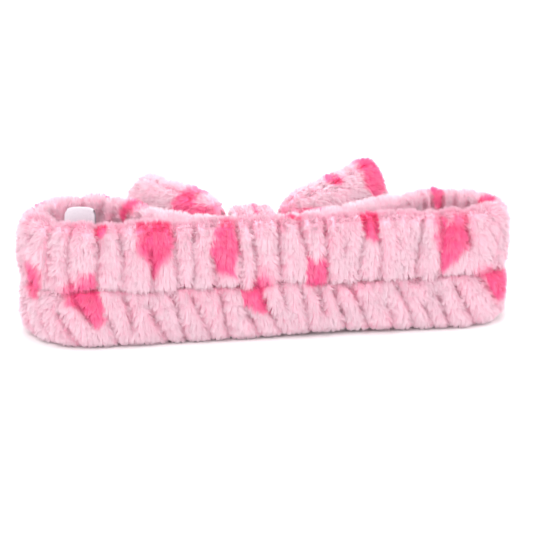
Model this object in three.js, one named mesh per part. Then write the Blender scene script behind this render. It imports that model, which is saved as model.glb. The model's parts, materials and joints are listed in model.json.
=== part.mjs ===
// Plush spa headband with a stuffed bow. Millimetres, +Z up, X along the width, the bow at +Y.
//
// The band is a loop of gathered fleece that stands on its lower rim. Two lengths of fleece tube, a
// back one and a front one, meet at two side seams. A stitched line at mid height divides each
// length into two channels, and a flat elastic runs through each channel. The bow is pinched
// against the outside of the front length by a wrapped strip of the same fleece.
import * as THREE from 'three';

// ---- band
const BAND_LENGTH = 236; // over the two side folds
const BAND_HEIGHT = 57;
const BAND_THICKNESS = 14; // one length of the padded tube, outside to inside face
const BACK_STATIONS = 14;
const FRONT_STATIONS = 28;
const TURN_STATIONS = 6; // in each quarter of a side fold
const FOOT_WIDTH = 6; // the flat strip that a rim rests on
const GROOVE_DEPTH = 3.6; // how far the stitched line sinks in on each face

// ---- clear space inside the loop
const LEFT_GAP = 42;
const RIGHT_GAP = 28;
const PINCH_GAP = 12; // behind the knot
const PINCH_LEFT = 40; // the front length runs straight for this far to the left of the knot's middle
const PINCH_RIGHT = 56;

// ---- knot and cinch
const KNOT_X = -6; // the bow sits a little to the left of the middle
const KNOT_WIDTH = 20;
const WRAP_THICKNESS = 3;
const WRAP_BULGE = 1.5;
const CINCH = 0.22; // share of the band's height that the knot squeezes out
const CINCH_REACH_LEFT = 60;
const CINCH_REACH_RIGHT = 60;

// ---- elastics and seams
const ELASTIC_WIDTH = 18;
const ELASTIC_THICKNESS = 1.2;
const SEAM_THICKNESS = 2.4;
const SEAM_INSET = 0.4;
const THREAD_RADIUS = 0.5;
const THREAD_SIDES = 5;

// ---- bow
const LOBE_LENGTH = 65;
const LOBE_HEIGHT = 58;
const LOBE_THICKNESS = 20;
const LOBE_WALL = 1.6;
const BOW_RAISE = 2; // the bow's middle above the band's
const LOBE_TILT_LEFT = THREE.MathUtils.degToRad(4); // how far a lobe rises from the knot to its tip
const LOBE_TILT_RIGHT = THREE.MathUtils.degToRad(12);
const LOBE_WIDEST = 0.68; // where along its length a lobe is at its fullest
const LOBE_NECK_RISE = 0.45; // how fast a lobe's height grows from its neck: small is fast
const LOBE_NECK_SWELL = 0.9; // the same for its thickness
const LOBE_SPREAD_LEFT = THREE.MathUtils.degToRad(12); // how far the left lobe stands off the fleece's flare
const LOBE_SPREAD_RIGHT = 0;
const LOBE_RINGS = 10;
const LOBE_SIDES = 16;
const LOBE_SEAM_START = 0.1; // share of the length where a lobe's closing stitches begin
const LOBE_SEAM_STATIONS = 13;
const SWING_SAMPLES = 24;
const SWING_STEP = THREE.MathUtils.degToRad(0.5);
const NECK_HALF_THICKNESS = 3.6;
const WAIST_HALF_THICKNESS = 4.5;
const WAIST_TIP_HALF_THICKNESS = 0.6; // where the pinched fleece runs into a lobe's neck
const FILLING_START = 0.22; // the batting stops short of the neck

// ---- care label
const LABEL_WIDTH = 15;
const LABEL_HEIGHT = 22;
const LABEL_LEAF = 0.5;
const LABEL_FOLD_GAP = 0.6;
const LABEL_ABOVE_RIM = 7;
const LABEL_TURN = THREE.MathUtils.degToRad(20); // how far round the left fold the label is sewn

// ---- fits
const FIT = 0.4; // between pieces that touch
const CLEAR = 0.6; // beside pieces that move
const LOBE_CLEAR = 2; // between a lobe and the band that it swings beside

// ---- sizes that follow from those above
const HALF_THICKNESS = BAND_THICKNESS / 2;
const MID_HEIGHT = BAND_HEIGHT / 2;
const LEFT_RADIUS = (LEFT_GAP + BAND_THICKNESS) / 2; // centreline of the left fold
const RIGHT_RADIUS = (RIGHT_GAP + BAND_THICKNESS) / 2;
const LEFT_TURN_X = -BAND_LENGTH / 2 + HALF_THICKNESS + LEFT_RADIUS;
const RIGHT_TURN_X = BAND_LENGTH / 2 - HALF_THICKNESS - RIGHT_RADIUS;
const PINCH_Y = PINCH_GAP + BAND_THICKNESS; // centreline of the front length at the knot
const WAIST_Y = PINCH_Y + HALF_THICKNESS + FIT + WAIST_HALF_THICKNESS;
const BOW_Z = MID_HEIGHT + BOW_RAISE;
const WRAP_HALF_HEIGHT = MID_HEIGHT * (1 - CINCH) + FIT;
const WAIST_HALF_HEIGHT = WRAP_HALF_HEIGHT - BOW_RAISE - WRAP_THICKNESS;
const NECK_HALF_HEIGHT = WAIST_HALF_HEIGHT - CLEAR;
const NECK_X = KNOT_WIDTH / 2 + NECK_HALF_THICKNESS + CLEAR; // from the knot's middle

// ---------------------------------------------------------------- helpers

const smooth = (t) => THREE.MathUtils.smootherstep(t, 0, 1);

// A closed body from points and triangles, with its faces turned outwards.
function solid(points, triangles) {
  let volume = 0;
  for (const [a, b, c] of triangles) {
    volume += points[a].dot(new THREE.Vector3().crossVectors(points[b], points[c]));
  }
  const index = volume < 0 ? triangles.map(([a, b, c]) => [a, c, b]) : triangles;
  const geometry = new THREE.BufferGeometry().setFromPoints(points);
  geometry.setIndex(index.flat());
  const flat = geometry.toNonIndexed();
  flat.computeVertexNormals();
  return flat;
}

// Quads between two rings of the same number of points, starting at indices a and b.
function wall(a, b, count) {
  const triangles = [];
  for (let i = 0; i < count; i++) {
    const j = (i + 1) % count;
    triangles.push([a + i, b + i, b + j], [a + i, b + j, a + j]);
  }
  return triangles;
}

// A section's rings as 2-D vectors, the outline turning left and the holes turning right.
function ordered(rings) {
  return rings.map((ring, i) => {
    const line = ring.map(([a, b]) => new THREE.Vector2(a, b));
    return THREE.ShapeUtils.isClockWise(line) === (i === 0) ? line.reverse() : line;
  });
}

// A section, with or without holes, carried along frames of {at, u, v}. sectionAt(i) gives
// [outline, ...holes], each a list of [u, v].
function sweep(frames, sectionAt) {
  const points = [];
  const triangles = [];
  const sections = frames.map((_, i) => ordered(sectionAt(i)));
  const sizes = sections[0].map((ring) => ring.length);
  const perStation = sizes.reduce((sum, size) => sum + size, 0);
  frames.forEach(({ at, u, v }, i) => {
    for (const { x, y } of sections[i].flat()) {
      points.push(at.clone().addScaledVector(u, x).addScaledVector(v, y));
    }
  });
  for (let i = 0; i + 1 < frames.length; i++) {
    let start = i * perStation;
    for (const size of sizes) {
      triangles.push(...wall(start, start + perStation, size));
      start += size;
    }
  }
  for (const station of [0, frames.length - 1]) {
    const [outline, ...holes] = sections[station];
    const flat = sections[station].flat();
    const offset = station * perStation;
    for (const [a, b, c] of THREE.ShapeUtils.triangulateShape(outline, holes)) {
      const left = THREE.ShapeUtils.area([flat[a], flat[b], flat[c]]) > 0;
      const corners = left === (station === 0) ? [a, b, c] : [a, c, b];
      triangles.push(corners.map((corner) => offset + corner));
    }
  }
  return solid(points, triangles);
}

// Rings of the same number of points joined in a row, closed by a point at each end.
function loft(startPole, rings, endPole) {
  const count = rings[0].length;
  const points = [startPole, ...rings.flat(), endPole];
  const triangles = [];
  const lastRing = 1 + (rings.length - 1) * count;
  for (let i = 0; i < count; i++) {
    const j = (i + 1) % count;
    triangles.push([0, 1 + i, 1 + j], [points.length - 1, lastRing + j, lastRing + i]);
  }
  for (let r = 0; r + 1 < rings.length; r++) {
    triangles.push(...wall(1 + r * count, 1 + (r + 1) * count, count));
  }
  return solid(points, triangles);
}

function ellipseRing(halfU, halfV, count) {
  return Array.from({ length: count }, (_, i) => {
    const angle = (2 * Math.PI * i) / count;
    return [halfU * Math.cos(angle), halfV * Math.sin(angle)];
  });
}

function roundedRectangle(halfU, halfV, radius, perCorner) {
  const ring = [];
  for (let corner = 0; corner < 4; corner++) {
    const signU = corner === 0 || corner === 3 ? 1 : -1;
    const signV = corner < 2 ? 1 : -1;
    for (let i = 0; i <= perCorner; i++) {
      const angle = (Math.PI / 2) * (corner + i / perCorner);
      ring.push([
        signU * (halfU - radius) + radius * Math.cos(angle),
        signV * (halfV - radius) + radius * Math.sin(angle),
      ]);
    }
  }
  return ring;
}

const UP = new THREE.Vector3(0, 0, 1);

// ---------------------------------------------------------------- the band's plan

// Centreline of the front length: straight behind the bow, then flaring out to the side folds.
function frontY(x) {
  const left = x < KNOT_X;
  const straight = left ? PINCH_LEFT : PINCH_RIGHT;
  const run = Math.abs((left ? LEFT_TURN_X : RIGHT_TURN_X) - KNOT_X) - straight;
  const endY = 2 * (left ? LEFT_RADIUS : RIGHT_RADIUS);
  return PINCH_Y + (endY - PINCH_Y) * smooth((Math.abs(x - KNOT_X) - straight) / run);
}

function frontSlope(x) {
  const step = 0.01;
  return (frontY(x + step) - frontY(x - step)) / (2 * step);
}

// A frame on the centreline at (x, y), with u pointing out of the loop.
function bandFrame(x, y, outX, outY) {
  return { at: new THREE.Vector3(x, y, 0), u: new THREE.Vector3(outX, outY, 0).normalize(), v: UP };
}

// A frame on a side fold's centreline, at an angle from the seam towards the front or the back.
function foldFrame(side, angle) {
  const radius = side < 0 ? LEFT_RADIUS : RIGHT_RADIUS;
  const centreX = side < 0 ? LEFT_TURN_X : RIGHT_TURN_X;
  const outX = side * Math.cos(angle);
  const outY = Math.sin(angle);
  return bandFrame(centreX + radius * outX, radius + radius * outY, outX, outY);
}

// A quarter of a side fold, from the seam to where the straight part starts.
function foldFrames(side, toFront) {
  const radius = side < 0 ? LEFT_RADIUS : RIGHT_RADIUS;
  const seamAngle = (SEAM_THICKNESS / 2 + FIT) / radius;
  return Array.from({ length: TURN_STATIONS }, (_, i) => {
    const angle = THREE.MathUtils.lerp(seamAngle, Math.PI / 2, i / TURN_STATIONS);
    return foldFrame(side, toFront ? angle : -angle);
  });
}

function lengthFrames(toFront) {
  const count = toFront ? FRONT_STATIONS : BACK_STATIONS;
  const middle = Array.from({ length: count + 1 }, (_, i) => {
    const x = THREE.MathUtils.lerp(LEFT_TURN_X, RIGHT_TURN_X, i / count);
    return toFront ? bandFrame(x, frontY(x), -frontSlope(x), 1) : bandFrame(x, 0, 0, -1);
  });
  return [...foldFrames(-1, toFront), ...middle, ...foldFrames(1, toFront).reverse()];
}

const backFrames = lengthFrames(false);
const frontFrames = lengthFrames(true);

// The front length is squeezed towards mid height where the knot holds it.
function squeeze(frame, toFront) {
  if (!toFront) return 1;
  const along = frame.at.x - KNOT_X;
  const reach = along < 0 ? CINCH_REACH_LEFT : CINCH_REACH_RIGHT;
  return 1 - CINCH * (1 - smooth((Math.abs(along) - KNOT_WIDTH / 2) / reach));
}

// ---------------------------------------------------------------- the band's section

const CHANNEL_U = ELASTIC_THICKNESS / 2 + FIT;
const CHANNEL_V = ELASTIC_WIDTH / 2 + FIT;
const ELASTIC_HEIGHTS = [MID_HEIGHT / 2, MID_HEIGHT * 1.5];

// Half of one channel's outline, from the rim's flat foot to the stitched groove: [share of the
// half thickness, share of the channel's height].
const CHANNEL_PROFILE = [
  [0.78, 0.04],
  [0.96, 0.16],
  [1.0, 0.34],
  [1.0, 0.66],
  [0.9, 0.88],
];

function tubeOutline(inset) {
  const half = HALF_THICKNESS - inset;
  const foot = FOOT_WIDTH / 2 - inset;
  const lower = CHANNEL_PROFILE.map(([a, b]) => [a * half, inset + b * (MID_HEIGHT - inset)]);
  const upper = lower.map(([a, b]) => [a, BAND_HEIGHT - b]).reverse();
  const groove = [half - GROOVE_DEPTH, MID_HEIGHT];
  const outside = [[foot, inset], ...lower, groove, ...upper, [foot, BAND_HEIGHT - inset]];
  const inside = outside.map(([a, b]) => [-a, b]).reverse();
  return [...outside, ...inside];
}

function rectangle(halfU, halfV, atU, atV) {
  return [
    [atU - halfU, atV - halfV],
    [atU + halfU, atV - halfV],
    [atU + halfU, atV + halfV],
    [atU - halfU, atV + halfV],
  ];
}

function squeezed(rings, share) {
  return rings.map((ring) => ring.map(([a, b]) => [a, MID_HEIGHT + (b - MID_HEIGHT) * share]));
}

function alongBand(toFront, rings) {
  const frames = toFront ? frontFrames : backFrames;
  return sweep(frames, (i) => squeezed(rings, squeeze(frames[i], toFront)));
}

function fleeceLength(toFront) {
  const channels = ELASTIC_HEIGHTS.map((height) => rectangle(CHANNEL_U, CHANNEL_V, 0, height));
  return alongBand(toFront, [tubeOutline(0), ...channels]);
}

function elastic(toFront, height) {
  return alongBand(toFront, [rectangle(ELASTIC_THICKNESS / 2, ELASTIC_WIDTH / 2, 0, height)]);
}

// The row of lockstitch in the groove; face is 1 on the outside of the loop and -1 on the inside.
function grooveStitch(toFront, face) {
  const offset = face * (HALF_THICKNESS - GROOVE_DEPTH + FIT + THREAD_RADIUS);
  const ring = ellipseRing(THREAD_RADIUS, THREAD_RADIUS, 4).map(([a, b]) => [a + offset, b + MID_HEIGHT]);
  return alongBand(toFront, [ring]);
}

function sideSeam(side) {
  const radius = side < 0 ? LEFT_RADIUS : RIGHT_RADIUS;
  const halfAngle = SEAM_THICKNESS / 2 / radius;
  const frames = [foldFrame(side, -halfAngle), foldFrame(side, halfAngle)];
  return sweep(frames, () => [tubeOutline(SEAM_INSET)]);
}

// ---------------------------------------------------------------- care label

const LABEL_THICKNESS = 2 * LABEL_LEAF + LABEL_FOLD_GAP;
const LABEL_RADIUS = LEFT_RADIUS - HALF_THICKNESS - CLEAR; // the label's leaf nearest the fleece
const LABEL_TOP = BAND_HEIGHT + LABEL_ABOVE_RIM;
const LABEL_FOOT = LABEL_TOP - LABEL_HEIGHT;
const LABEL_STITCH_HEIGHT = 3; // above the label's foot

// Frames round the left fold, centred on the label, with u pointing out of the loop.
function labelFrames(radius) {
  const count = 4;
  return Array.from({ length: count + 1 }, (_, i) => {
    const angle = LABEL_TURN + (LABEL_WIDTH / LABEL_RADIUS) * (i / count - 0.5);
    const outX = -Math.sin(angle);
    const outY = -Math.cos(angle);
    return bandFrame(LEFT_TURN_X + radius * outX, LEFT_RADIUS + radius * outY, outX, outY);
  });
}

// One strip of satin folded over at the top, both leaves sewn down together at the foot.
function careLabel() {
  const hairpin = [
    [0, LABEL_FOOT],
    [0, LABEL_TOP],
    [-LABEL_THICKNESS, LABEL_TOP],
    [-LABEL_THICKNESS, LABEL_FOOT],
    [-LABEL_THICKNESS + LABEL_LEAF, LABEL_FOOT],
    [-LABEL_THICKNESS + LABEL_LEAF, LABEL_TOP - LABEL_LEAF],
    [-LABEL_LEAF, LABEL_TOP - LABEL_LEAF],
    [-LABEL_LEAF, LABEL_FOOT],
  ];
  return sweep(labelFrames(LABEL_RADIUS), () => [hairpin]);
}

function labelStitch() {
  const ring = ellipseRing(THREAD_RADIUS, THREAD_RADIUS, THREAD_SIDES).map(([a, b]) => [
    a - LABEL_THICKNESS - FIT - THREAD_RADIUS,
    b + LABEL_FOOT + LABEL_STITCH_HEIGHT,
  ]);
  return sweep(labelFrames(LABEL_RADIUS), () => [ring]);
}

// ---------------------------------------------------------------- bow

// A lobe's half size at a share of its length: narrow at the neck, full, then rounded off.
function lobeHalf(share, neckHalf, fullHalf, growth) {
  if (share < LOBE_WIDEST) {
    return neckHalf + (fullHalf - neckHalf) * Math.sin((Math.PI / 2) * (share / LOBE_WIDEST)) ** growth;
  }
  const past = (share - LOBE_WIDEST) / (1 - LOBE_WIDEST);
  return fullHalf * Math.max(0, 1 - past ** 3) ** 0.5;
}

const lobeHalfHeight = (share) => lobeHalf(share, NECK_HALF_HEIGHT, LOBE_HEIGHT / 2, LOBE_NECK_RISE);
const lobeHalfThickness = (share) =>
  lobeHalf(share, NECK_HALF_THICKNESS, LOBE_THICKNESS / 2, LOBE_NECK_SWELL);

// How far clear of the band a lobe's inner side stays when it swings out by an angle.
function swungClearance(side, swing) {
  const gaps = Array.from({ length: SWING_SAMPLES }, (_, i) => {
    const share = (i + 1) / SWING_SAMPLES;
    const along = LOBE_LENGTH * share;
    const half = lobeHalfThickness(share);
    const x = KNOT_X + side * (NECK_X + along * Math.cos(swing) + half * Math.sin(swing));
    const y = WAIST_Y + along * Math.sin(swing) - half * Math.cos(swing);
    const slope = frontSlope(x);
    return (y - frontY(x)) / Math.hypot(1, slope) - HALF_THICKNESS;
  });
  return Math.min(...gaps);
}

// A lobe swings out just far enough to lie along the fleece's flare, and then by its own spread.
function lobeSwing(side) {
  let swing = 0;
  while (swungClearance(side, swing) < LOBE_CLEAR && swing < Math.PI / 2) {
    swing += SWING_STEP;
  }
  return swing + (side < 0 ? LOBE_SPREAD_LEFT : LOBE_SPREAD_RIGHT);
}

// A lobe's axes: out from its neck, rising with the bow's tilt, while its height stays upright.
function lobeAxes(side) {
  const swing = lobeSwing(side);
  const tilt = side < 0 ? LOBE_TILT_LEFT : LOBE_TILT_RIGHT;
  return {
    neck: new THREE.Vector3(KNOT_X + side * NECK_X, WAIST_Y, BOW_Z),
    along: new THREE.Vector3(side * Math.cos(swing), Math.sin(swing), Math.tan(tilt)),
    height: UP,
    thickness: new THREE.Vector3(-side * Math.sin(swing), Math.cos(swing), 0),
  };
}

function lobePoint(axes, along, halfThickness, halfHeight) {
  return axes.neck
    .clone()
    .addScaledVector(axes.along, along)
    .addScaledVector(axes.thickness, halfThickness)
    .addScaledVector(axes.height, halfHeight);
}

// Rings of a lobe's surface from one share of its length to another, pulled in by an inset.
function lobeRings(side, from, to, inset) {
  const axes = lobeAxes(side);
  const length = LOBE_LENGTH - inset;
  return Array.from({ length: LOBE_RINGS }, (_, i) => {
    const share = THREE.MathUtils.lerp(from, to, Math.sin((Math.PI / 2) * (i / (LOBE_RINGS - 1))));
    const halfHeight = lobeHalfHeight(share);
    const halfThickness = lobeHalfThickness(share);
    return ellipseRing(halfThickness - inset, halfHeight - inset, LOBE_SIDES).map(([a, b]) =>
      lobePoint(axes, length * share, a, b),
    );
  });
}

const LAST_RING = 0.985; // of the length, just short of a lobe's tip

// A pouch of fleece, open at its neck.
function lobeCover(side) {
  const axes = lobeAxes(side);
  const outer = lobeRings(side, 0, LAST_RING, 0);
  const inner = lobeRings(side, 0, LAST_RING, LOBE_WALL).reverse();
  const innerTip = lobePoint(axes, LOBE_LENGTH - LOBE_WALL, 0, 0);
  return loft(innerTip, [...inner, ...outer], lobePoint(axes, LOBE_LENGTH, 0, 0));
}

function lobeFilling(side) {
  const axes = lobeAxes(side);
  const inset = LOBE_WALL + FIT;
  const length = LOBE_LENGTH - inset;
  const rings = lobeRings(side, FILLING_START, LAST_RING, inset);
  return loft(lobePoint(axes, length * FILLING_START, 0, 0), rings, lobePoint(axes, length, 0, 0));
}

// The closing stitches round a lobe's edge, from the top of its neck over the tip to the bottom.
function lobeSeam(side) {
  const axes = lobeAxes(side);
  const offset = FIT + THREAD_RADIUS;
  const half = Array.from({ length: LOBE_SEAM_STATIONS }, (_, i) => {
    const turn = (Math.PI / 2) * (i / (LOBE_SEAM_STATIONS - 1));
    const share = THREE.MathUtils.lerp(LOBE_SEAM_START, 1, Math.sin(turn));
    return [LOBE_LENGTH * share, lobeHalfHeight(share)];
  });
  const edge = [...half, ...half.slice(0, -1).reverse().map(([a, b]) => [a, -b])];
  const frames = edge.map(([a, b], i) => {
    const before = edge[Math.max(0, i - 1)];
    const after = edge[Math.min(edge.length - 1, i + 1)];
    const out = new THREE.Vector2(-(after[1] - before[1]), after[0] - before[0]).normalize();
    return {
      at: lobePoint(axes, a + out.x * offset, 0, b + out.y * offset),
      u: axes.along.clone().multiplyScalar(out.x).addScaledVector(axes.height, out.y),
      v: axes.thickness,
    };
  });
  return sweep(frames, () => [ellipseRing(THREAD_RADIUS, THREAD_RADIUS, THREAD_SIDES)]);
}

// The bow's pinched middle: full inside the knot, then a thin fold that runs into both necks.
function bowWaist() {
  const knotSide = KNOT_WIDTH / 2;
  const foldHeight = NECK_HALF_HEIGHT - LOBE_WALL - CLEAR;
  const halfSizes = [
    [0, WAIST_HALF_THICKNESS, WAIST_HALF_HEIGHT],
    [knotSide * 0.6, WAIST_HALF_THICKNESS, WAIST_HALF_HEIGHT],
    [knotSide - CLEAR, WAIST_TIP_HALF_THICKNESS * 2, foldHeight],
    [knotSide, WAIST_TIP_HALF_THICKNESS, foldHeight],
    [NECK_X + CLEAR, WAIST_TIP_HALF_THICKNESS, foldHeight - CLEAR],
  ];
  const mirrored = halfSizes.slice(1).reverse().map(([x, ...halves]) => [-x, ...halves]);
  const rings = [...mirrored, ...halfSizes].map(([x, halfThickness, halfHeight]) =>
    ellipseRing(halfThickness, halfHeight, 12).map(
      ([a, b]) => new THREE.Vector3(KNOT_X + x, WAIST_Y + a, BOW_Z + b),
    ),
  );
  const tip = NECK_X + 2 * CLEAR;
  return loft(
    new THREE.Vector3(KNOT_X - tip, WAIST_Y, BOW_Z),
    rings,
    new THREE.Vector3(KNOT_X + tip, WAIST_Y, BOW_Z),
  );
}

const WRAP_INSIDE_Y = PINCH_Y - HALF_THICKNESS - FIT;
const WRAP_OUTSIDE_Y = WAIST_Y + WAIST_HALF_THICKNESS + FIT;

// A strip of fleece wound round the squeezed band and the bow's waist.
function knotWrap() {
  const halfDepth = (WRAP_OUTSIDE_Y - WRAP_INSIDE_Y) / 2;
  const centreY = (WRAP_OUTSIDE_Y + WRAP_INSIDE_Y) / 2;
  const stations = [-1, -0.6, 0, 0.6, 1];
  const frames = stations.map((share) => ({
    at: new THREE.Vector3(KNOT_X + (share * KNOT_WIDTH) / 2, centreY, MID_HEIGHT),
    u: new THREE.Vector3(0, 1, 0),
    v: UP,
  }));
  const cornerRadius = HALF_THICKNESS / 4;
  return sweep(frames, (i) => {
    const thickness = WRAP_THICKNESS + WRAP_BULGE * (1 - stations[i] ** 2);
    const outer = roundedRectangle(
      halfDepth + thickness,
      WRAP_HALF_HEIGHT + WRAP_THICKNESS,
      cornerRadius + thickness,
      3,
    );
    // the bulge is only on the outside of the bow, so the inside stays flat against the head
    const flatInside = outer.map(([a, b]) => [Math.max(a, -halfDepth - WRAP_THICKNESS), b]);
    return [flatInside, roundedRectangle(halfDepth, WRAP_HALF_HEIGHT, cornerRadius, 3)];
  });
}

// The hand stitches that close the wrap, up the middle of its inside face.
function knotTack() {
  const y = WRAP_INSIDE_Y - WRAP_THICKNESS - FIT - THREAD_RADIUS;
  const half = WRAP_HALF_HEIGHT * 0.55;
  const frames = [-half, half].map((height) => ({
    at: new THREE.Vector3(KNOT_X, y, MID_HEIGHT + height),
    u: new THREE.Vector3(1, 0, 0),
    v: new THREE.Vector3(0, 1, 0),
  }));
  return sweep(frames, () => [ellipseRing(THREAD_RADIUS * 1.6, THREAD_RADIUS, 6)]);
}

// ---------------------------------------------------------------- assembly

const FLEECE = '#f9cfe0';
const BATTING = '#f4f1ee';
const ELASTIC = '#f3efec';
const THREAD = '#f7a9c6';
const SATIN = '#efe9ec';

const pieces = [
  ['fleece_back', fleeceLength(false), FLEECE],
  ['fleece_front', fleeceLength(true), FLEECE],
  ['elastic_back_lower', elastic(false, ELASTIC_HEIGHTS[0]), ELASTIC],
  ['elastic_back_upper', elastic(false, ELASTIC_HEIGHTS[1]), ELASTIC],
  ['elastic_front_lower', elastic(true, ELASTIC_HEIGHTS[0]), ELASTIC],
  ['elastic_front_upper', elastic(true, ELASTIC_HEIGHTS[1]), ELASTIC],
  ['stitch_back_outer', grooveStitch(false, 1), THREAD],
  ['stitch_back_inner', grooveStitch(false, -1), THREAD],
  ['stitch_front_outer', grooveStitch(true, 1), THREAD],
  ['stitch_front_inner', grooveStitch(true, -1), THREAD],
  ['side_seam_left', sideSeam(-1), FLEECE],
  ['side_seam_right', sideSeam(1), FLEECE],
  ['care_label', careLabel(), SATIN],
  ['label_stitch', labelStitch(), THREAD],
  ['bow_left_cover', lobeCover(-1), FLEECE],
  ['bow_right_cover', lobeCover(1), FLEECE],
  ['bow_left_filling', lobeFilling(-1), BATTING],
  ['bow_right_filling', lobeFilling(1), BATTING],
  ['bow_left_seam', lobeSeam(-1), THREAD],
  ['bow_right_seam', lobeSeam(1), THREAD],
  ['bow_waist', bowWaist(), FLEECE],
  ['knot_wrap', knotWrap(), FLEECE],
  ['knot_tack_stitch', knotTack(), THREAD],
];

const headband = new THREE.Group();
headband.name = 'spa_headband';
for (const [name, geometry, color] of pieces) {
  const mesh = new THREE.Mesh(geometry, new THREE.MeshStandardMaterial({ color, roughness: 0.9 }));
  mesh.name = name;
  headband.add(mesh);
}

// The origin is the middle of the bounding box's underside.
const box = new THREE.Box3().setFromObject(headband);
const centre = box.getCenter(new THREE.Vector3());
for (const mesh of headband.children) {
  mesh.geometry.translate(-centre.x, -centre.y, -box.min.z);
}

export default headband;
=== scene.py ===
import json
import math

import bpy
import numpy as np
from bpy.props import FloatProperty, FloatVectorProperty, IntProperty, PointerProperty
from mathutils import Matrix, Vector


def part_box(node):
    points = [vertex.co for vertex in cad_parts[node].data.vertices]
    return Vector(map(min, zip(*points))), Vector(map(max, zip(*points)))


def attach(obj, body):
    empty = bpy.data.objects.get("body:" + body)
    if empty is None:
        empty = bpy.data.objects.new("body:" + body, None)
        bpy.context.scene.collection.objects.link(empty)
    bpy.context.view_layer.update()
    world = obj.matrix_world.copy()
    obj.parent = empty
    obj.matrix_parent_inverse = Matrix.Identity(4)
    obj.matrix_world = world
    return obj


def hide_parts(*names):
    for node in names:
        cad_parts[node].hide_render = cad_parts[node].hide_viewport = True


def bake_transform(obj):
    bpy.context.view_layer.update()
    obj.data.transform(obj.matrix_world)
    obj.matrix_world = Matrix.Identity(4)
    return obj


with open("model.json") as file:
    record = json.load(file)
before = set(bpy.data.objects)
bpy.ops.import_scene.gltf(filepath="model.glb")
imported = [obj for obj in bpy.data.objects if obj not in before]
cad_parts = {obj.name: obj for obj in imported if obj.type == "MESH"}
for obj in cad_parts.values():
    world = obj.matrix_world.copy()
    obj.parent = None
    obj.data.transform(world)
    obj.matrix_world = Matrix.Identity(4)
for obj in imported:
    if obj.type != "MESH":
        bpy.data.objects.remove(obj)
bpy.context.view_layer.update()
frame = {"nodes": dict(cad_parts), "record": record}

bl_info = {
    "name": "Plush Spa Headband",
    "version": (1, 0, 0),
    "blender": (4, 5, 0),
    "location": "View3D > Sidebar > Headband",
    "description": "Builds a gathered coral fleece spa headband with a stuffed bow on its frame",
    "category": "Add Mesh",
}

MM = 0.001
TABLE_GAP = 0.1 * MM  # pile and skin are pressed flat just above the table
UP = np.array([0.0, 0.0, 1.0])


# ---------------------------------------------------------------- colour and settings

def linear(hex_colour):
    """An sRGB hex colour as linear red, green and blue."""
    parts = [int(hex_colour[i:i + 2], 16) / 255 for i in (1, 3, 5)]
    return tuple(p / 12.92 if p <= 0.04045 else ((p + 0.055) / 1.055) ** 2.4 for p in parts)


def length_property(name, millimetres, description, high=0.5):
    return FloatProperty(name=name, description=description, default=millimetres * MM, min=0.0, max=high,
                         unit="LENGTH", subtype="DISTANCE", precision=4)


def colour_property(name, hex_colour, description):
    return FloatVectorProperty(name=name, description=description, default=linear(hex_colour), min=0.0, max=1.0,
                               size=3, subtype="COLOR")


class HeadbandFleece(bpy.types.PropertyGroup):
    pile_length: length_property("Pile length", 3.9, "Length of the fleece's pile, root to tip")
    pile_density: FloatProperty(name="Pile density", description="Tufts on each square millimetre of fleece",
                                default=8.5, min=0.2, max=16.0)
    tuft_width: length_property("Tuft width", 0.27, "Width of one tuft of pile at its root")
    gather_spacing: length_property("Gather spacing", 9.8, "Usual distance from one gather to the next")
    gather_depth: length_property("Gather depth", 4.6, "Depth of the valleys between the gathers")
    slant: FloatProperty(name="Lower row slant", description="Lean of the lower row's gathers",
                         default=math.radians(18), subtype="ANGLE")
    heart_size: length_property("Heart size", 11.5, "Half width of a printed heart before gathering")
    seed: IntProperty(name="Seed", description="Seed of the gathers, the print's scatter and the pile", default=7)
    # The tone falls towards pale up each tuft: partly the light pile's own colour, partly painted light on the
    # pile's ends.
    pale: colour_property("Pale tips", "#F6E4EB", "Sheared ends of the light pile")
    light: colour_property("Light pink", "#F8D3E0", "Ground colour of the fleece")
    # Middle pink is painted shade: the light pile's colour where shade falls in a gather's valley.
    middle: colour_property("Middle pink", "#FF98BC", "Light pile in the depth of a gather")
    hot: colour_property("Hot pink", "#FC68A0", "Printed hearts")
    # Deep pink is painted shade on the print: hearts deepen to it in valleys and at the tufts' roots.
    deep: colour_property("Deep pink", "#FB3F84", "Printed hearts in the depth of the pile")


class HeadbandBow(bpy.types.PropertyGroup):
    lobe_length: length_property("Lobe length", 65, "From the neck to the tip of one lobe")
    lobe_height: length_property("Lobe height", 58, "Height of a lobe at its fullest")
    lobe_thickness: length_property("Lobe thickness", 20, "Thickness of a lobe at its fullest")
    tilt_left: FloatProperty(name="Left tilt", description="Rise of the left lobe from the knot",
                             default=math.radians(4), subtype="ANGLE")
    tilt_right: FloatProperty(name="Right tilt", description="Rise of the right lobe from the knot",
                              default=math.radians(12), subtype="ANGLE")


class HeadbandStage(bpy.types.PropertyGroup):
    azimuth: FloatProperty(name="Camera azimuth", description="Camera's turn round the headband from its back",
                           default=math.radians(-9), subtype="ANGLE")
    elevation: FloatProperty(name="Camera elevation", description="Camera's height as an angle",
                             default=math.radians(17), subtype="ANGLE")
    distance: length_property("Camera distance", 620, "From the camera to the headband", high=5.0)
    view_width: length_property("View width", 256, "Width that the picture takes in at the headband")
    backdrop: colour_property("Backdrop", "#FFFFFF", "Paper that the headband stands on")


# ---------------------------------------------------------------- measures of the frame

def corners(node):
    low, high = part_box(node)
    return np.array(low), np.array(high)


BACK_LOW, BACK_HIGH = corners("fleece_back")
KNOT_LOW, KNOT_HIGH = corners("knot_wrap")
SEAM_LEFT = sum(corners("side_seam_left")) / 2
SEAM_RIGHT = sum(corners("side_seam_right")) / 2
JOINT = {joint["name"]: joint for joint in frame["record"]["behaviour"]["joints"]}

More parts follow.
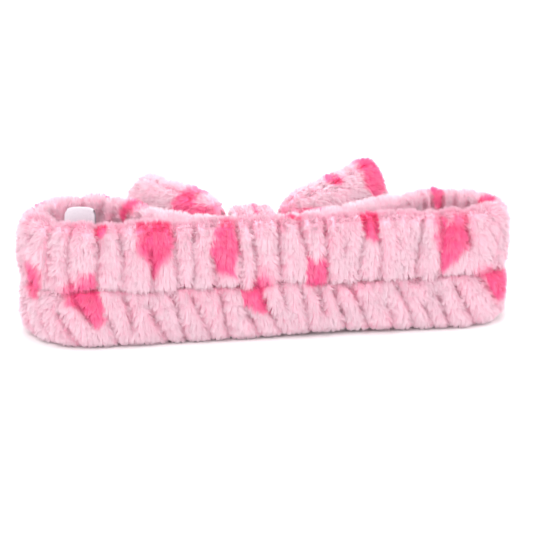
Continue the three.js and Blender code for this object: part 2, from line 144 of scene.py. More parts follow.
HALF_THICKNESS = 7 * MM
HEIGHT = BACK_HIGH[2]
MID_HEIGHT = HEIGHT / 2
BACK_Y = BACK_LOW[1] + HALF_THICKNESS
LEFT_RADIUS = SEAM_LEFT[1] - BACK_Y
RIGHT_RADIUS = SEAM_RIGHT[1] - BACK_Y
LEFT_X = BACK_LOW[0] + HALF_THICKNESS + LEFT_RADIUS
RIGHT_X = BACK_HIGH[0] - HALF_THICKNESS - RIGHT_RADIUS
KNOT_X = (KNOT_LOW[0] + KNOT_HIGH[0]) / 2
KNOT_HALF_WIDTH = (KNOT_HIGH[0] - KNOT_LOW[0]) / 2
WRAP_AND_FIT = 3.4 * MM
PINCH_Y = KNOT_LOW[1] + WRAP_AND_FIT + HALF_THICKNESS
CINCH = 1 - ((KNOT_HIGH[2] - KNOT_LOW[2]) / 2 - WRAP_AND_FIT) / MID_HEIGHT
CINCH_REACH = 60 * MM
PINCH_LEFT = 40 * MM
PINCH_RIGHT = 56 * MM


def smoother(t):
    t = np.clip(t, 0, 1)
    return t * t * t * (t * (6 * t - 15) + 10)


def front_y(x):
    """The front length's centreline: straight behind the bow, then flaring out to the side folds."""
    left = x < KNOT_X
    straight = np.where(left, PINCH_LEFT, PINCH_RIGHT)
    run = np.abs(np.where(left, LEFT_X, RIGHT_X) - KNOT_X) - straight
    end = BACK_Y + 2 * np.where(left, LEFT_RADIUS, RIGHT_RADIUS)
    return PINCH_Y + (end - PINCH_Y) * smoother((np.abs(x - KNOT_X) - straight) / run)


def front_slope(x):
    return (front_y(x + 1e-5) - front_y(x - 1e-5)) / 2e-5


def plan_line():
    """The loop's centreline seen from above, from the left end of the back all the way round, with the arc length
    at each point and at the four places where a straight length meets a fold."""
    fine = 0.25 * MM
    back = np.arange(LEFT_X, RIGHT_X, fine)
    turn = np.linspace(-math.pi / 2, math.pi / 2, 400)
    front = np.arange(RIGHT_X, LEFT_X, -fine)
    parts = [
        np.stack([back, np.full_like(back, BACK_Y)], 1),
        np.stack([RIGHT_X + RIGHT_RADIUS * np.cos(turn), BACK_Y + RIGHT_RADIUS * (1 + np.sin(turn))], 1),
        np.stack([front, front_y(front)], 1),
        np.stack([LEFT_X - LEFT_RADIUS * np.cos(turn), BACK_Y + LEFT_RADIUS * (1 - np.sin(turn))], 1),
    ]
    line = np.concatenate(parts + [parts[0][:1]])
    step = np.linalg.norm(np.diff(line, axis=0), axis=1)
    line = line[np.concatenate([[True], step > 1e-7])]
    arc = np.concatenate([[0], np.cumsum(np.linalg.norm(np.diff(line, axis=0), axis=1))])
    ends = np.cumsum([len(p) for p in parts])
    lengths = [0.0] + [float(arc[min(end, len(arc) - 1)]) for end in ends]
    return line, arc, lengths


LINE, ARC, CUTS = plan_line()
LOOP = CUTS[-1]


def on_loop(s):
    """The centreline's points at arc lengths s, and the directions that point out of the loop there."""
    s = np.asarray(s) % LOOP
    at = np.stack([np.interp(s, ARC, LINE[:, k]) for k in (0, 1)], 1)
    step = 0.6 * MM
    ahead = np.stack([np.interp((s + step) % LOOP, ARC, LINE[:, k]) for k in (0, 1)], 1)
    behind = np.stack([np.interp((s - step) % LOOP, ARC, LINE[:, k]) for k in (0, 1)], 1)
    along = ahead - behind
    along /= np.linalg.norm(along, axis=1)[:, None]
    return at, np.stack([along[:, 1], -along[:, 0]], 1)


def arc_at(x, front):
    """The arc length of the point on the back or the front length that has that x."""
    if not front:
        return x - LEFT_X
    run = (ARC > CUTS[2]) & (ARC < CUTS[3])
    return float(np.interp(-x, -LINE[run][:, 0], ARC[run]))


# ---------------------------------------------------------------- meshes

def new_mesh(name, points, faces, uv=None, values=None, smooth=True):
    """An object with a mesh from arrays. faces is (n, 3) or (n, 4); uv is per corner; values are numbers or
    vectors at the points."""
    points, faces = np.asarray(points, np.float32), np.asarray(faces, np.int32)
    mesh = bpy.data.meshes.new(name)
    count, sides = faces.shape
    mesh.vertices.add(len(points))
    mesh.vertices.foreach_set("co", points.ravel())
    mesh.loops.add(count * sides)
    mesh.loops.foreach_set("vertex_index", faces.ravel())
    mesh.polygons.add(count)
    mesh.polygons.foreach_set("loop_start", np.arange(0, count * sides, sides, dtype=np.int32))
    mesh.polygons.foreach_set("use_smooth", np.full(count, smooth))
    if uv is not None:
        layer = mesh.uv_layers.new(name="OFBake")
        layer.data.foreach_set("uv", np.asarray(uv, np.float32).ravel())
    for key, value in (values or {}).items():
        value = np.asarray(value, np.float32)
        kind, field = ("FLOAT", "value") if value.ndim == 1 else ("FLOAT_VECTOR", "vector")
        mesh.attributes.new(key, kind, "POINT").data.foreach_set(field, value.ravel())
    mesh.update(calc_edges=True)
    obj = bpy.data.objects.new(name, mesh)
    bpy.context.scene.collection.objects.link(obj)
    return obj


def grid_faces(rows, columns, wrap_columns):
    """Quads over a grid of points, row by row."""
    r, c = np.meshgrid(np.arange(rows - 1), np.arange(columns if wrap_columns else columns - 1), indexing="ij")
    a, b = r * columns + c, r * columns + (c + 1) % columns
    return np.stack([a, b, b + columns, a + columns], 2).reshape(-1, 4)


def point_normals(points, faces):
    """Unit normals at the points of a mesh of quads or triangles."""
    corner = points[faces]
    face = np.cross(corner[:, 2] - corner[:, 0], corner[:, -1] - corner[:, 1])
    out = np.zeros_like(points)
    for k in range(faces.shape[1]):
        np.add.at(out, faces[:, k], face)
    return out / np.maximum(np.linalg.norm(out, axis=1), 1e-12)[:, None]


def even_steps(ring, count):
    """Points at even steps along a line of points."""
    arc = np.concatenate([[0], np.cumsum(np.linalg.norm(np.diff(ring, axis=0), axis=1))])
    at = np.linspace(0, arc[-1], count, endpoint=False)
    return np.stack([np.interp(at, arc, ring[:, k]) for k in (0, 1)], 1)


def tube_uv(quads, rows, around):
    """Map places of the corners of a tube's quads: along it and round it."""
    column = quads % around
    at_seam = (column.max(1) - column.min(1) > 2)[:, None] & (column == 0)
    return np.stack([quads // around / rows, np.where(at_seam, around, column) / around], 2).reshape(-1, 2)


def fleece_skin(name, points, faces, uv, values, ground):
    """A skin of fleece, in the material of its knitted ground."""
    skin = new_mesh(name, points, faces, uv, values)
    skin.data.materials.append(ground)
    return skin


def unit(v):
    return v / np.maximum(np.linalg.norm(v, axis=-1), 1e-12)[..., None]


def smooth_noise(points, size, rng_seed):
    """Soft noise from -1 to 1 with features of that size: sines in fixed random directions."""
    rng = np.random.default_rng(rng_seed)
    total = np.zeros(len(points))
    for _ in range(7):
        way = rng.normal(size=points.shape[1])
        way *= rng.uniform(0.7, 1.4) * 2 * math.pi / (size * np.linalg.norm(way))
        total += np.sin(points @ way + rng.uniform(0, 2 * math.pi))
    return total / 3.5


# ---------------------------------------------------------------- materials

def add_node(tree, kind, links=None, **settings):
    """Adds a shader node. settings are its properties, or its input sockets by name with spaces as underscores;
    links map an input socket to an output socket of another node."""
    made = tree.nodes.new(kind)
    for key, value in settings.items():
        if hasattr(made, key):
            setattr(made, key, value)
        else:
            made.inputs[key.replace("_", " ")].default_value = value
    for socket, source in (links or {}).items():
        tree.links.new(source, made.inputs[socket])
    return made


def start_material(name):
    """A material with a Principled shader, and both its tree and that shader."""
    material = bpy.data.materials.new(name)
    material.use_nodes = True
    tree = material.node_tree
    shader = tree.nodes["Principled BSDF"]
    return material, tree, shader


def set_inputs(shader, **values):
    """Sets a shader's inputs by name, with spaces as underscores."""
    for key, value in values.items():
        shader.inputs[key.replace("_", " ")].default_value = value


def colour_stops(ramp, stops):
    """Sets a colour ramp's stops from (position, colour)."""
    elements = ramp.color_ramp.elements
    while len(elements) > 1:
        elements.remove(elements[0])
    for i, (position, colour) in enumerate(stops):
        element = elements[0] if i == 0 else elements.new(position)
        element.position = position
        element.color = (*colour, 1)


def fleece_stops(fleece):
    return [(0.0, fleece.pale), (0.22, fleece.light), (0.5, fleece.middle), (0.78, fleece.hot), (1.0, fleece.deep)]


def pile_material(fleece):
    """Coral fleece pile: brushed polyester microfibre, matt with a soft bloom. A tuft's tone runs across the map
    and its root to tip up it: painted shade deepens its colour towards the root and painted light pales its tip."""
    material, tree, shader = start_material("coral_fleece_pile")
    place = add_node(tree, "ShaderNodeUVMap", uv_map="OFBake")
    split = add_node(tree, "ShaderNodeSeparateXYZ", {"Vector": place.outputs["UV"]})
    # painted shade and light: the tone rises by 0.12 at the root and falls by 0.05 at the tip
    depth = add_node(tree, "ShaderNodeMapRange", {"Value": split.outputs["Y"]}, To_Min=0.12, To_Max=-0.05)
    tone = add_node(tree, "ShaderNodeMath", {0: split.outputs["X"], 1: depth.outputs["Result"]}, operation="ADD")
    ramp = add_node(tree, "ShaderNodeValToRGB", {"Fac": tone.outputs["Value"]})
    colour_stops(ramp, fleece_stops(fleece))
    tree.links.new(ramp.outputs["Color"], shader.inputs["Base Color"])
    set_inputs(shader, Roughness=0.92, IOR=1.45, Specular_IOR_Level=0.15, Sheen_Weight=0.12, Sheen_Roughness=0.5)
    return material


def skin_material(fleece):
    """The knitted ground that the pile grows from, printed with the pile, with a fine knit of 0.9 mm wales and
    painted shade that deepens it as under the pile.
    """
    material, tree, shader = start_material("coral_fleece_ground")
    tone = add_node(tree, "ShaderNodeAttribute", attribute_name="tone")
    place = add_node(tree, "ShaderNodeTexCoord")
    mottle = add_node(tree, "ShaderNodeTexNoise", {"Vector": place.outputs["Object"]}, Scale=900.0, Detail=2.0)
    # random mottle, and an average rise of 0.12 in tone that is painted shade under the pile, as at the tufts'
    # roots
    mottle_and_root_shade = add_node(tree, "ShaderNodeMapRange", {"Value": mottle.outputs["Fac"]}, To_Min=0.06, To_Max=0.18)
    total = add_node(tree, "ShaderNodeMath", {0: tone.outputs["Fac"], 1: mottle_and_root_shade.outputs["Result"]}, operation="ADD")
    ramp = add_node(tree, "ShaderNodeValToRGB", {"Fac": total.outputs["Value"]})
    colour_stops(ramp, fleece_stops(fleece))
    tree.links.new(ramp.outputs["Color"], shader.inputs["Base Color"])
    set_inputs(shader, Roughness=0.95, IOR=1.45, Specular_IOR_Level=0.1, Sheen_Weight=0.3)
    return material


def woven_material(name, light_hex, dark_hex, scale_mm, roughness):
    """Woven or twisted yarn: bands one yarn wide, with painted shade slightly darker between yarns."""
    material, tree, shader = start_material(name)
    place = add_node(tree, "ShaderNodeTexCoord")
    yarn = add_node(tree, "ShaderNodeTexWave", {"Vector": place.outputs["Object"]}, Scale=1 / (scale_mm * MM) / 20,
                    Distortion=1.2, Detail=1.0)
    fuzz = add_node(tree, "ShaderNodeTexNoise", {"Vector": place.outputs["Object"]}, Scale=1400.0, Detail=3.0)
    both = add_node(tree, "ShaderNodeMath", {0: yarn.outputs["Fac"], 1: fuzz.outputs["Fac"]}, operation="MULTIPLY")
    ramp = add_node(tree, "ShaderNodeValToRGB", {"Fac": both.outputs["Value"]})
    colour_stops(ramp, [(0.0, linear(dark_hex)), (0.6, linear(light_hex))])
    tree.links.new(ramp.outputs["Color"], shader.inputs["Base Color"])
    set_inputs(shader, Roughness=roughness, IOR=1.5)
    return material


def satin_material():
    """Satin care label: blank polyester ribbon, its weave barely seen, with a soft shine."""
    material, tree, shader = start_material("satin_label")
    place = add_node(tree, "ShaderNodeUVMap", uv_map="OFBake")
    weave = add_node(tree, "ShaderNodeTexNoise", {"Vector": place.outputs["UV"]}, Scale=60.0, Detail=4.0)
    ramp = add_node(tree, "ShaderNodeValToRGB", {"Fac": weave.outputs["Fac"]})
    colour_stops(ramp, [(0.3, linear("#C2B8C1")), (0.7, linear("#D3CAD2"))])
    tree.links.new(ramp.outputs["Color"], shader.inputs["Base Color"])
    set_inputs(shader, Roughness=0.38, IOR=1.5)
    return material


# ---------------------------------------------------------------- pile

def surface_samples(skin, density, rng):
    """Random points on a skin, evenly by area: place, normal, and the skin's "tone", "reach" and "nap" there."""
    mesh = skin.data
    mesh.calc_loop_triangles()
    points = np.zeros(len(mesh.vertices) * 3, np.float32)
    triangles = np.zeros(len(mesh.loop_triangles) * 3, np.int32)
    mesh.vertices.foreach_get("co", points)
    mesh.loop_triangles.foreach_get("vertices", triangles)
    points, triangles = points.reshape(-1, 3).astype(float), triangles.reshape(-1, 3)
    tone, reach, nap = (np.zeros(len(points) * size, np.float32) for size in (1, 1, 3))
    mesh.attributes["tone"].data.foreach_get("value", tone)
    mesh.attributes["reach"].data.foreach_get("value", reach)
    mesh.attributes["nap"].data.foreach_get("vector", nap)
    corner = points[triangles]
    area = np.linalg.norm(np.cross(corner[:, 1] - corner[:, 0], corner[:, 2] - corner[:, 0]), axis=1) / 2
    count = int(area.sum() * density / MM ** 2)
    chosen = np.searchsorted(np.cumsum(area), rng.random(count) * area.sum()).clip(0, len(area) - 1)
    share = rng.random((count, 2))
    share = np.where(share.sum(1, keepdims=True) > 1, 1 - share, share)
    weight = np.concatenate([1 - share.sum(1, keepdims=True), share], 1)

    def blended(values):
        return np.einsum("nk,nk...->n...", weight, values[triangles[chosen]])

    normal = unit(blended(point_normals(points, triangles)))
    return blended(points), normal, blended(tone), blended(reach), blended(nap.reshape(-1, 3))


CLUMP_SIZE = 2.4 * MM
CLUMP_KINDS = 65521  # a prime: clumps far apart share a lean without it showing


def tufts(skin, fleece, rng, length_scale):
    """Tufts of pile over a skin, as (points, normals, map places) with three points to a tuft: its foot's two ends
    and its tip. A tuft lies along the nap, leans towards the middle of its clump, and turns its flat side out."""
    root, normal, tone, reach, nap = surface_samples(skin, fleece.pile_density, rng)
    count = len(root)
    cell = np.floor(root / CLUMP_SIZE).astype(np.int64)
    key = (cell[:, 0] * 73856093 ^ cell[:, 1] * 19349663 ^ cell[:, 2] * 83492791) % CLUMP_KINDS
    lean = rng.normal(size=(CLUMP_KINDS, 3))[key]
    clump = (cell + 0.5 + 0.25 * np.clip(lean, -1, 1)) * CLUMP_SIZE
    length = fleece.pile_length * length_scale * reach * rng.uniform(0.72, 1.08, count)
    way = unit(normal * 0.72 + nap * 0.66 + lean * 0.11 + rng.normal(size=(count, 3)) * 0.10)
    tip = root + way * length[:, None]
    gather = clump - root
    gather -= normal * (gather * normal).sum(1, keepdims=True)
    tip += gather * 0.32
    across = unit(np.cross(tip - root, normal + rng.normal(size=(count, 3)) * 0.15))
    facing = np.cross(across, tip - root)
    facing = unit(facing * np.sign((facing * normal).sum(1, keepdims=True)))
    across *= (fleece.tuft_width * rng.uniform(0.7, 1.2, count) / 2)[:, None]
    base = root - normal * 0.3 * MM
    across[(np.cross(2 * across, tip - base) * facing).sum(1) < 0] *= -1
    points = np.stack([base - across, base + across, tip], 1)
    points[:, :, 2] = np.maximum(points[:, :, 2], TABLE_GAP)
    normals = np.repeat(unit(facing + 0.45 * normal), 3, 0).reshape(-1, 3, 3)
    shade = np.clip(tone + rng.normal(size=count) * 0.022 + 0.025 * lean[:, 0], 0.02, 0.98)
    foot, end, half_width = 0.02, 0.98, 0.006
    place = np.stack([shade[:, None] + [-half_width, half_width, 0.0],
                      np.broadcast_to([foot, foot, end], (count, 3))], 2)
    return points, normals, place


def grow_pile(name, skin, fleece, material, seed, length_scale=1.0, split_at=None):
    """The pile over a skin: one piece, or an upper and a lower one that part at the height split_at."""
    points, normals, place = tufts(skin, fleece, np.random.default_rng(seed), length_scale)
    if split_at is None:
        parts = [(name, np.ones(len(points), bool))]
    else:
        high = points[:, 0, 2] > split_at
        parts = [(f"{name}_upper", high), (f"{name}_lower", ~high)]
    made = []
    for part_name, chosen in parts:
        faces = np.arange(int(chosen.sum()) * 3).reshape(-1, 3)
        pile = new_mesh(part_name, points[chosen].reshape(-1, 3), faces, place[chosen].reshape(-1, 2))
        pile.data.normals_split_custom_set_from_vertices(normals[chosen].reshape(-1, 3))
        pile.data.materials.append(material)
        made.append(pile)
    return made


# ---------------------------------------------------------------- band

class Gathers:
    """The valleys between the gathers of one row, all round the loop."""

    def __init__(self, rng, fleece, slant):
        widths = fleece.gather_spacing * rng.uniform(0.66, 1.5, int(LOOP / fleece.gather_spacing))
        widths *= LOOP / widths.sum()
        self.at = np.cumsum(widths)
        count = len(self.at)
        # a gather is steep on its right and slopes gently on its left
        self.before = widths * 0.36
        self.after = np.roll(widths, -1) * 0.50
        self.strength = rng.uniform(0.66, 1.0, count)
        self.fade_low = np.where(rng.random(count) < 0.2, rng.uniform(0.3, 0.6, count), -1)
        self.fade_high = np.where(rng.random(count) < 0.22, rng.uniform(0.5, 0.8, count), 2)
        self.lean = rng.normal(size=count) * math.radians(5)
        self.wave = rng.uniform(0, 2 * math.pi, count)
        self.hang = rng.uniform(0.35, 1.0, count)
        self.slant = slant
        self.hidden = 0.62 * fleece.gather_spacing

    def centre(self, k, share, drop):
        straight = self.at[k] + drop * math.tan(self.slant)
        return straight + (share - 0.5) * MID_HEIGHT * math.tan(self.lean[k]) \
            + 0.7 * MM * np.sin(self.wave[k] + share * 5)

    def valley(self, s, share, drop):
        """1 in the bottom of a valley and 0 on a ridge; share is the height in the row, drop the distance below
        the stitched line for the lower row."""
        deep = np.zeros(len(s))
        for k in range(len(self.at)):
            away = (s - self.centre(k, share, drop) + LOOP / 2) % LOOP - LOOP / 2
            gap = np.where(away < 0, -away / self.before[k], away / self.after[k])
            near = gap < 1
            level = np.full(int(near.sum()), self.strength[k])
            if self.fade_low[k] > 0:
                level *= smoother((share[near] - self.fade_low[k]) / 0.3 + 0.5)
            if self.fade_high[k] < 1:
                level *= smoother((self.fade_high[k] - share[near]) / 0.3 + 0.5)
            deep[near] = np.maximum(deep[near], level * (1 - np.sqrt(1 - (1 - gap[near]) ** 2)))
        return deep

    def hanging(self, s):
        """How far each gather's lower end hangs, as a share."""
        return self.hang[np.searchsorted(self.at, s % LOOP) % len(self.at)]

    def fabric(self, s, drop):
        """Distance along the ungathered fleece: each valley hides a little of it."""
        flat = s - drop * math.tan(self.slant)
        turn = np.floor(flat / LOOP)
        return 1.1 * flat + self.hidden * (np.searchsorted(self.at, flat % LOOP) + turn * len(self.at))


GROOVE_HALF_WIDTH = 2.4 * MM  # of the section where the line is stitched through it


def section_line(count):
    """Points round the band's section at even steps, from the foot up the outside, over the top rim and down the
    inside: offsets from the centreline and heights."""
    heights = np.linspace(0, MID_HEIGHT, 400)
    share = 2 * heights / MID_HEIGHT - 1
    bulge = HALF_THICKNESS * np.maximum(1 - np.abs(share) ** 2.5, 0) ** (1 / 2.5)
    lower = np.where(share > 0, np.maximum(bulge, GROOVE_HALF_WIDTH), bulge)
    side = np.concatenate([np.stack([lower, heights], 1), np.stack([lower[::-1], HEIGHT - heights[::-1]], 1)])
    return even_steps(np.concatenate([side, np.stack([-side[::-1, 0], side[::-1, 1]], 1)]), count)


BAND_POINTS_AROUND = 156
BAND_STEP = 0.62 * MM
OVERHANG = 4.2 * MM  # how far the longest of the upper gathers hang over the stitched line
RIM_LIFT = 2.4 * MM
RIM_LIFT_X = 30 * MM
RIM_LIFT_REACH = 42 * MM


def squeeze(x, on_front):
    away = (np.abs(x - KNOT_X) - KNOT_HALF_WIDTH) / CINCH_REACH
    return np.where(on_front, 1 - CINCH * (1 - smoother(away)), 1.0)


# Hearts of the printed fleece on the straight lengths: the middle's x and height in mm, whether it is on the front
# length and on the loop's outside, its turn in degrees and its size against the usual one.
HEARTS = [
    (-58.5, 45, False, True, 8, 1.05), (-25, 43, False, True, 24, 0.95), (16.5, 32, False, True, -14, 0.72),
    (44.5, 55, False, True, 12, 0.85), (80, 42, False, True, -6, 1.1), (-9.5, 21, False, True, 16, 1.0),
    (100, 19, False, True, -22, 1.0), (-90, 22, False, True, 10, 1.1), (-82, 62, False, False, 30, 0.5),
    (-62, 57, True, False, 20, 0.9), (88, 57, True, False, 8, 0.9), (-70, 20, True, False, -18, 1.0),
    (40, 18, True, False, 15, 1.0), (-40, 28, False, False, 5, 1.0), (12, 44, False, False, -12, 1.0),
    (60, 20, False, False, 20, 1.0), (-58, 20, True, True, 12, 1.1), (-80, 46, True, True, -10, 1.0),
    (28, 48, True, True, 18, 0.8), (56, 20, True, True, -12, 1.1), (82, 44, True, True, 8, 1.0),
]
# The same for the folds, with the share of the fold's length in place of x.
FOLD_HEARTS = [
    ("left", 0.64, 30, True, 0, 0.8), ("left", 0.32, 48, True, 14, 1.0), ("left", 0.45, 18, False, -10, 1.0),
    ("right", 0.42, 14, True, 18, 1.0), ("right", 0.8, 42, True, -14, 1.0), ("right", 0.5, 50, False, 10, 0.9),
]


def heart(across, up):
    """How far inside a plain heart of half width 1 a point is: 0 at its edge, negative outside."""
    return 1 - ((across ** 2 + (1.12 * up - 0.72 * np.sqrt(np.abs(across) + 1e-6) + 0.08) ** 2)) ** 0.5


def heart_places():
    """(arc length, height, outside, turn, size) of every printed heart on the band."""
    places = [(arc_at(x * MM, front), z * MM, outside, turn, size) for x, z, front, outside, turn, size in HEARTS]
    ends = {"right": (CUTS[1], CUTS[2]), "left": (CUTS[3], LOOP)}
    for fold, share, z, outside, turn, size in FOLD_HEARTS:
        first, last = ends[fold]
        places.append((first + (last - first) * share, z * MM, outside, turn, size))
    return places


def printed(across, up, turn, size, fleece, seed):
    """How strongly a heart is printed at places measured from its middle: its dye bleeds a little at the edge."""
    across = across + 0.12 * fleece.heart_size * smooth_noise(np.stack([up, across], 1), 9 * MM, seed)
    a, b = across / (fleece.heart_size * size), up / (fleece.heart_size * size)
    cos, sin = math.cos(math.radians(turn)), math.sin(math.radians(turn))
    bleed = 0.10 * smooth_noise(np.stack([across, up], 1), 4 * MM, seed + 1)
    ink = smoother(heart(a * cos + b * sin, b * cos - a * sin) / 0.55 + 0.42 + bleed)
    return ink * (0.90 + 0.10 * smooth_noise(np.stack([up, across], 1), 6 * MM, seed + 2))


def print_tone(plain, ink, valley):
    """The fleece's tone once a heart is printed on it; the print deepens with painted shade where valley is high.
    """
    return plain + (0.72 + 0.22 * valley - plain) * ink


def band_surface(fleece):
    """The gathered fleece skin of the whole loop: points, faces, the tone, pile reach and nap at each point, the
    arc length of each row of points and the number of points in a row."""
    rng = np.random.default_rng(fleece.seed)
    upper, lower = Gathers(rng, fleece, 0.0), Gathers(rng, fleece, fleece.slant)
    around = BAND_POINTS_AROUND
    s_line = np.linspace(0, LOOP, int(LOOP / BAND_STEP), endpoint=False)
    for cut in CUTS[:-1]:  # two lengths of skin meet at a row of points
        s_line[np.argmin(np.abs(s_line - cut))] = cut
    s_line = np.append(s_line, LOOP)
    section = section_line(around)
    at, out = on_loop(s_line)
    s = np.repeat(s_line, around)
    offset, height = np.tile(section[:, 0], len(s_line)), np.tile(section[:, 1], len(s_line))
    centre, outward = np.repeat(at, around, 0), np.repeat(out, around, 0)
    on_front = (s > CUTS[2]) & (s < CUTS[3])
    tight = squeeze(centre[:, 0], on_front)

    is_upper = height > MID_HEIGHT
    share = np.where(is_upper, height - MID_HEIGHT, height) / MID_HEIGHT
    drop = np.where(is_upper, 0.0, MID_HEIGHT - height)
    valley = np.where(is_upper, upper.valley(s, share, drop), lower.valley(s, share, drop))
    away = np.abs(height - MID_HEIGHT) / MID_HEIGHT
    fullness = smoother(away / 0.2) * (1 - 0.25 * smoother((away - 0.8) / 0.2))
    turn = 2 * math.pi * s / LOOP
    wave = smooth_noise(np.stack([np.cos(turn), np.sin(turn), height / (0.14 * LOOP)], 1), 0.28, fleece.seed + 3)
    rest_on_floor = smoother((height - 2.5 * MM) / (5 * MM))
    puff = 0.3 * MM - fleece.gather_depth * fullness * valley + 0.8 * MM * wave * fullness
    puff -= 0.9 * MM * (1 - smoother(away / 0.12))
    puff = np.where(puff > 0, puff * rest_on_floor, puff)
    # the stitched line wanders a little, and the upper row hangs over it in rounded ends
    wander = smooth_noise(np.stack([np.cos(turn), np.sin(turn)], 1), 0.45, fleece.seed + 4)
    overhang = np.where(is_upper, smoother((0.40 - share) / 0.36), 0) * upper.hanging(s) * (1 - 0.8 * valley)

    level = MID_HEIGHT + (height - MID_HEIGHT) * tight
    base = np.stack([centre[:, 0] + outward[:, 0] * offset, centre[:, 1] + outward[:, 1] * offset, level], 1)
    faces = grid_faces(len(s_line), around, True)
    normals = point_normals(base, faces)
    first, last = slice(0, around), slice(len(base) - around, len(base))
    normals[first] = normals[last] = unit(normals[first] + normals[last])
    if (normals[around * 3 + around // 4] @ [0, -1, 0]) < 0:
        normals = -normals
        faces = faces[:, ::-1]
    points = base + normals * puff[:, None]
    points[:, 2] += 1.0 * MM * wander * (1 - away) ** 2 - overhang * OVERHANG
    # the lower rim of the back rises a little from the table right of its middle
    lift = np.exp(-((centre[:, 0] - RIM_LIFT_X) / RIM_LIFT_REACH) ** 2) * (1 - smoother(height / MID_HEIGHT))
    points[:, 2] += np.where(s < CUTS[1], RIM_LIFT * lift, 0)
    points[:, 2] = np.maximum(points[:, 2], TABLE_GAP)
    points[last] = points[first]

    # painted shade: the tone deepens towards middle pink in the gathers' valleys and along the stitched line,
    # where shade falls; the wave adds a little random tone
    tone = 0.15 + 0.34 * valley * fullness + 0.15 * (1 - smoother(away / 0.14)) + 0.03 * wave
    outside = offset > 0
    for number, (arc, level_at, is_outside, turned, size) in enumerate(heart_places()):
        for row, gathers in ((True, upper), (False, lower)):
            over_rim = (np.abs(level_at - height) < 8 * MM) & (away > 0.85)
            rows = (is_upper == row) & ((outside == is_outside) | over_rim)
            whole = 1.1 * LOOP + gathers.hidden * len(gathers.at)
            across = gathers.fabric(s[rows], drop[rows]) - gathers.fabric(np.array([arc]), np.array([0.0]))[0]
            across = (across + whole / 2) % whole - whole / 2
            beyond = np.where(outside[rows] == is_outside, height[rows], 2 * HEIGHT - height[rows] + 8 * MM)
            ink = printed(across, beyond - level_at, turned, size, fleece, fleece.seed + 100 + number)
            tone[rows] = print_tone(tone[rows], ink, valley[rows])
    reach = 1.0 - 0.35 * valley * fullness - 0.3 * (1 - smoother(away / 0.12))
    reach *= 0.55 + 0.45 * rest_on_floor
    reach *= 1 - 0.25 * smoother((height - HEIGHT + 4 * MM) / (4 * MM))
    # the pile lies one way round the tube: up its inside face, out over the rim and down its outside
    rings = points.reshape(-1, around, 3)
    nap = unit(np.roll(rings, 1, 1) - np.roll(rings, -1, 1)).reshape(-1, 3) * 0.9
    nap *= (1 - 0.35 * smoother((height - HEIGHT + 4 * MM) / (4 * MM)))[:, None]
    return points, faces, np.clip(tone, 0, 1), np.clip(reach, 0.2, 1), nap, s_line, around


BAND_PIECES = [  # name, which of the loop's lengths it is, and the CAD solid that it stands for
    ("fleece_back", 0, "fleece_back"),
    ("fleece_fold_right", 1, "side_seam_right"),
    ("fleece_front", 2, "fleece_front"),
    ("fleece_fold_left", 3, "side_seam_left"),
]


def band_length(name, number, surface, ground, pile, fleece):
    """One length of the band: its skin, cut out of the whole loop's surface, and its pile."""
    points, faces, tone, reach, nap, s_line, around = surface
    start, stop = (int(np.argmin(np.abs(s_line - CUTS[number + k]))) for k in (0, 1))
    keep = np.arange(start * around, (stop + 1) * around)
    row = (faces // around).min(1)
    quads = faces[(row >= start) & (row < stop)] - start * around
    skin = fleece_skin(f"{name}_skin", points[keep], quads, tube_uv(quads, stop - start, around),
                       {"tone": tone[keep], "reach": reach[keep], "nap": nap[keep]}, ground)
    fur = grow_pile(f"{name}_pile", skin, fleece, pile, fleece.seed + 10 * number, 1.0, MID_HEIGHT)
    return skin, fur


class HEADBAND_OT_band(bpy.types.Operator):
    """Build the gathered fleece band with its pile"""
    bl_idname = "headband.band"
    bl_label = "Fleece band"

    def execute(self, context):
        fleece = context.scene.headband_fleece
        surface = band_surface(fleece)
        ground, pile = skin_material(fleece), pile_material(fleece)
        folds = {"side_seam_left": (LEFT_X, LEFT_RADIUS), "side_seam_right": (RIGHT_X, RIGHT_RADIUS)}
        for name, number, node in BAND_PIECES:
            skin, fur = band_length(name, number, surface, ground, pile, fleece)
            for piece in (skin, *fur):
                if node in folds:
                    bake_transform(piece)
                else:
                    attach(piece, node.split("_")[1])
            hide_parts(node)
        return {"FINISHED"}


# ---------------------------------------------------------------- bow

NECK = {side: np.array(JOINT[name]["pos_m"]) for side, name in ((-1, "bow_left_fold"), (1, "bow_right_fold"))}
LOBE_WIDEST = 0.68
LOBE_CLEAR = 2 * MM
NECK_HALF_HEIGHT = 17.0 * MM
NECK_HALF_THICKNESS = 3.6 * MM
NECK_SWELL = 0.9  # how fast a lobe's thickness grows from its neck: small is fast
STUFFED_RISE = 0.28  # the stuffed skin is fuller near the knot than the solid that it stands for
STUFFED_SWELL = 0.6
PLUMP = 1.6 * MM
SPREAD = {-1: math.radians(12), 1: 0.0}  # how far a lobe stands off the band's flare


def lobe_half(share, neck, full, growth):
    """A lobe's half size at a share of its length: narrow at the neck, full, then rounded off."""
    rise = neck + (full - neck) * np.sin(math.pi / 2 * np.clip(share / LOBE_WIDEST, 0, 1)) ** growth
    past = np.clip((share - LOBE_WIDEST) / (1 - LOBE_WIDEST), 0, 1)
    return np.where(share < LOBE_WIDEST, rise, full * np.sqrt(np.clip(1 - past ** 3, 0, 1)))


def lobe_swing(side, bow):
    """How far a lobe swings away from the band to lie along the fleece's flare."""
    share = np.arange(1, 25) / 24
    half = lobe_half(share, NECK_HALF_THICKNESS, bow.lobe_thickness / 2, NECK_SWELL)
    for step in range(180):
        swing = math.radians(step / 2)
        x = NECK[side][0] + side * (bow.lobe_length * share * math.cos(swing) + half * math.sin(swing))
        y = NECK[side][1] + bow.lobe_length * share * math.sin(swing) - half * math.cos(swing)
        gap = (y - front_y(x)) / np.hypot(1, front_slope(x)) - HALF_THICKNESS
        if gap.min() >= LOBE_CLEAR:
            return swing + SPREAD[side]
    return math.pi / 2


